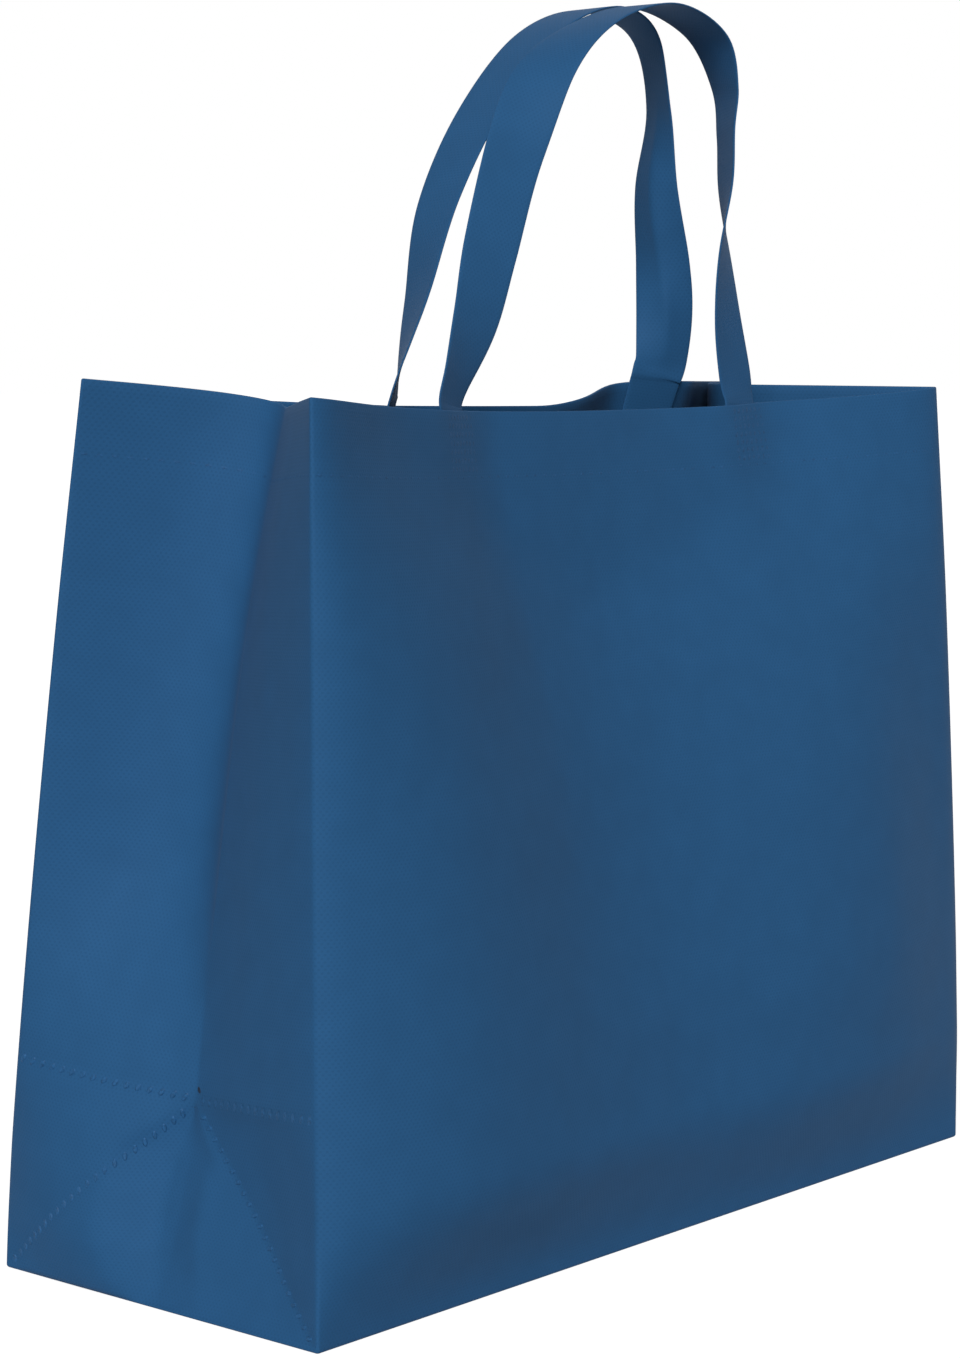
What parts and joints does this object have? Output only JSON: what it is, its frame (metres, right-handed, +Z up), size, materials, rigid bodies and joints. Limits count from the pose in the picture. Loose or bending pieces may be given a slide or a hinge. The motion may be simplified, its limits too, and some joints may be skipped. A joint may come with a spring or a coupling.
{
  "type": "carrier bag",
  "caption": "Box-shaped carrier bag of welded blue nonwoven sheet, standing open on its flat base, with folded side gussets, a turned hem and strap handles.",
  "frame": {"origin": "middle of the flat base's underside, half way between the front and back lower edges and between the two gussets", "axes": "+Z up to the mouth, +X along the wide front panel to the right, +Y from the front panel to the back panel"},
  "size_m": [0.4502, 0.1873, 0.5317],
  "materials": {
    "body_sheet": "matt spunbonded polypropylene, small bonded points",
    "strap_sheet": "matt spunbonded polypropylene, folded double and welded"
  },
  "bodies": {
    "root": {"bag_body": "body_sheet", "front_handle": "strap_sheet", "back_handle": "strap_sheet"}
  },
  "joints": []
}
